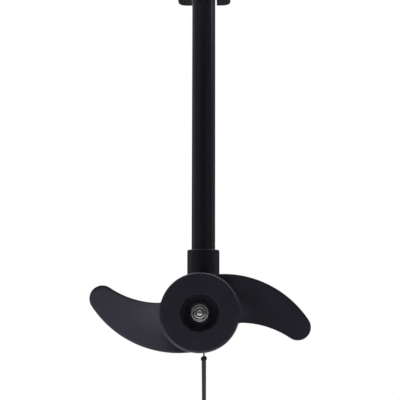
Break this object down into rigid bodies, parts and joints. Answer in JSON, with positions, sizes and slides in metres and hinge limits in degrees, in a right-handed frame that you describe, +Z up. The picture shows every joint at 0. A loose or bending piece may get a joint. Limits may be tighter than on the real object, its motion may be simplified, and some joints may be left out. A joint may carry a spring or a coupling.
{
  "type": "trolling motor",
  "caption": "Transom-mount electric trolling motor: clamp bracket, tilting swivel, black shaft tube, motor pod with skeg and swept propeller, head with telescopic twist tiller.",
  "frame": {"origin": "middle of the bracket face that rests on the transom's aft side", "axes": "+Y out of that face, towards the bow; +Z up along the shaft; +X to starboard"},
  "size_m": [0.2298, 0.6036, 1.1972],
  "materials": {
    "satin_black_plastic": "satin black moulded plastic",
    "gloss_black_tube": "glossy black fibre composite",
    "black_paint": "black powder-coated aluminium casting",
    "black_enamel": "black enamel on a drawn steel can",
    "black_rubber": "matt black rubber",
    "dark_nylon": "dark grey nylon",
    "stainless_steel": "turned stainless steel",
    "motor_iron": "laminated iron",
    "ceramic_magnet": "sintered ceramic magnet",
    "copper": "copper",
    "carbon": "carbon brush",
    "red_insulation": "red cable insulation"
  },
  "bodies": {
    "bracket": {"clamp_bracket": "black_paint", "hinge_bolt": "stainless_steel", "hinge_nut": "stainless_steel", "trim_pin": "stainless_steel"},
    "left_pad": {"clamp_pad_left": "stainless_steel"},
    "left_screw": {"clamp_screw_left": "stainless_steel", "clamp_knob_left": "satin_black_plastic"},
    "right_pad": {"clamp_pad_right": "stainless_steel"},
    "right_screw": {"clamp_screw_right": "stainless_steel", "clamp_knob_right": "satin_black_plastic"},
    "swivel": {"swivel_housing": "black_paint", "upper_bush": "dark_nylon", "lower_bush": "dark_nylon"},
    "tension": {"tension_knob": "satin_black_plastic"},
    "collar": {"depth_collar": "satin_black_plastic"},
    "collar_lock": {"collar_knob": "satin_black_plastic"},
    "shaft": {"shaft_tube": "gloss_black_tube", "lead_positive": "red_insulation", "lead_negative": "black_rubber", "lead_grommet": "black_rubber", "front_housing": "black_paint", "tube_set_screw": "stainless_steel", "skeg": "satin_black_plastic", "skeg_pin": "stainless_steel", "motor_can": "black_enamel", "rear_cap": "black_paint", "front_sealing_ring": "black_rubber", "rear_sealing_ring": "black_rubber", "through_bolt_upper": "stainless_steel", "through_bolt_lower": "stainless_steel", "magnet_left": "ceramic_magnet", "magnet_right": "ceramic_magnet", "brush_plate": "dark_nylon", "brush_left": "carbon", "brush_right": "carbon", "brush_spring_left": "stainless_steel", "brush_spring_right": "stainless_steel", "front_bearing": "stainless_steel", "rear_bearing": "stainless_steel", "shaft_seal": "black_rubber", "head_base": "satin_black_plastic", "head_cover": "satin_black_plastic", "cover_screw_aft": "stainless_steel", "cover_screw_fore": "stainless_steel", "tiller_pivot_pin": "stainless_steel", "cable_gland": "dark_nylon"},
    "rotor": {"drive_shaft": "stainless_steel", "armature_core": "motor_iron", "armature_winding": "copper", "commutator": "copper", "propeller": "satin_black_plastic", "drive_pin": "stainless_steel", "prop_washer": "stainless_steel", "prop_nut": "stainless_steel"},
    "tiller": {"tiller_arm": "satin_black_plastic", "speed_switch": "dark_nylon"},
    "switch": {"switch_rotor": "stainless_steel"},
    "extension": {"tiller_extension": "stainless_steel"},
    "grip": {"twist_grip": "dark_nylon", "grip_sleeve": "black_rubber"}
  },
  "joints": [
    {"name": "clamp_left_slide", "type": "slide", "parent": "bracket", "child": "left_pad", "axis": [0, -1, 0], "range_m": [-0.0101, 0.0251]},
    {"name": "clamp_left_spin", "type": "hinge", "parent": "left_pad", "child": "left_screw", "pos_m": [-0.03, 0, 0.01], "axis": [0, -1, 0], "range_deg": [-1440, 3600]},
    {"name": "clamp_right_slide", "type": "slide", "parent": "bracket", "child": "right_pad", "axis": [0, -1, 0], "range_m": [-0.0101, 0.0251]},
    {"name": "clamp_right_spin", "type": "hinge", "parent": "right_pad", "child": "right_screw", "pos_m": [0.03, 0, 0.01], "axis": [0, -1, 0], "range_deg": [-1440, 3600]},
    {"name": "tilt", "type": "hinge", "parent": "bracket", "child": "swivel", "pos_m": [0, -0.046, 0.055], "axis": [-1, 0, 0], "range_deg": [0, 90]},
    {"name": "tension_turn", "type": "hinge", "parent": "swivel", "child": "tension", "pos_m": [0.0143, -0.114, -0.07], "axis": [1, 0, 0], "range_deg": [-720, 90]},
    {"name": "steer", "type": "hinge", "parent": "swivel", "child": "collar", "pos_m": [0, -0.114, 0.055], "axis": [0, 0, 1], "continuous": true},
    {"name": "collar_turn", "type": "hinge", "parent": "collar", "child": "collar_lock", "pos_m": [0, -0.1283, 0.0893], "axis": [0, -1, 0], "range_deg": [-720, 90]},
    {"name": "depth", "type": "slide", "parent": "collar", "child": "shaft", "axis": [0, 0, 1], "range_m": [-0.18, 0.26]},
    {"name": "prop_spin", "type": "hinge", "parent": "shaft", "child": "rotor", "pos_m": [0, -0.114, -0.5189], "axis": [0, -1, 0], "continuous": true},
    {"name": "tiller_fold", "type": "hinge", "parent": "shaft", "child": "tiller", "pos_m": [0, -0.01, 0.5053], "axis": [1, 0, 0], "range_deg": [0, 85]},
    {"name": "switch_turn", "type": "hinge", "parent": "tiller", "child": "switch", "pos_m": [0, -0.01, 0.5053], "axis": [0, 1, 0], "range_deg": [-61, 101]},
    {"name": "tiller_extend", "type": "slide", "parent": "tiller", "child": "extension", "axis": [0, 1, 0], "range_m": [0, 0.098]},
    {"name": "grip_twist", "type": "hinge", "parent": "extension", "child": "grip", "pos_m": [0, -0.01, 0.5053], "axis": [0, 1, 0], "range_deg": [-60, 100]}
  ],
  "couplings": [
    {"joint": "clamp_left_slide", "follows": "clamp_left_spin", "m_per_rad": 0.00039789},
    {"joint": "clamp_right_slide", "follows": "clamp_right_spin", "m_per_rad": 0.00039789},
    {"joint": "switch_turn", "follows": "grip_twist", "ratio": 1}
  ]
}
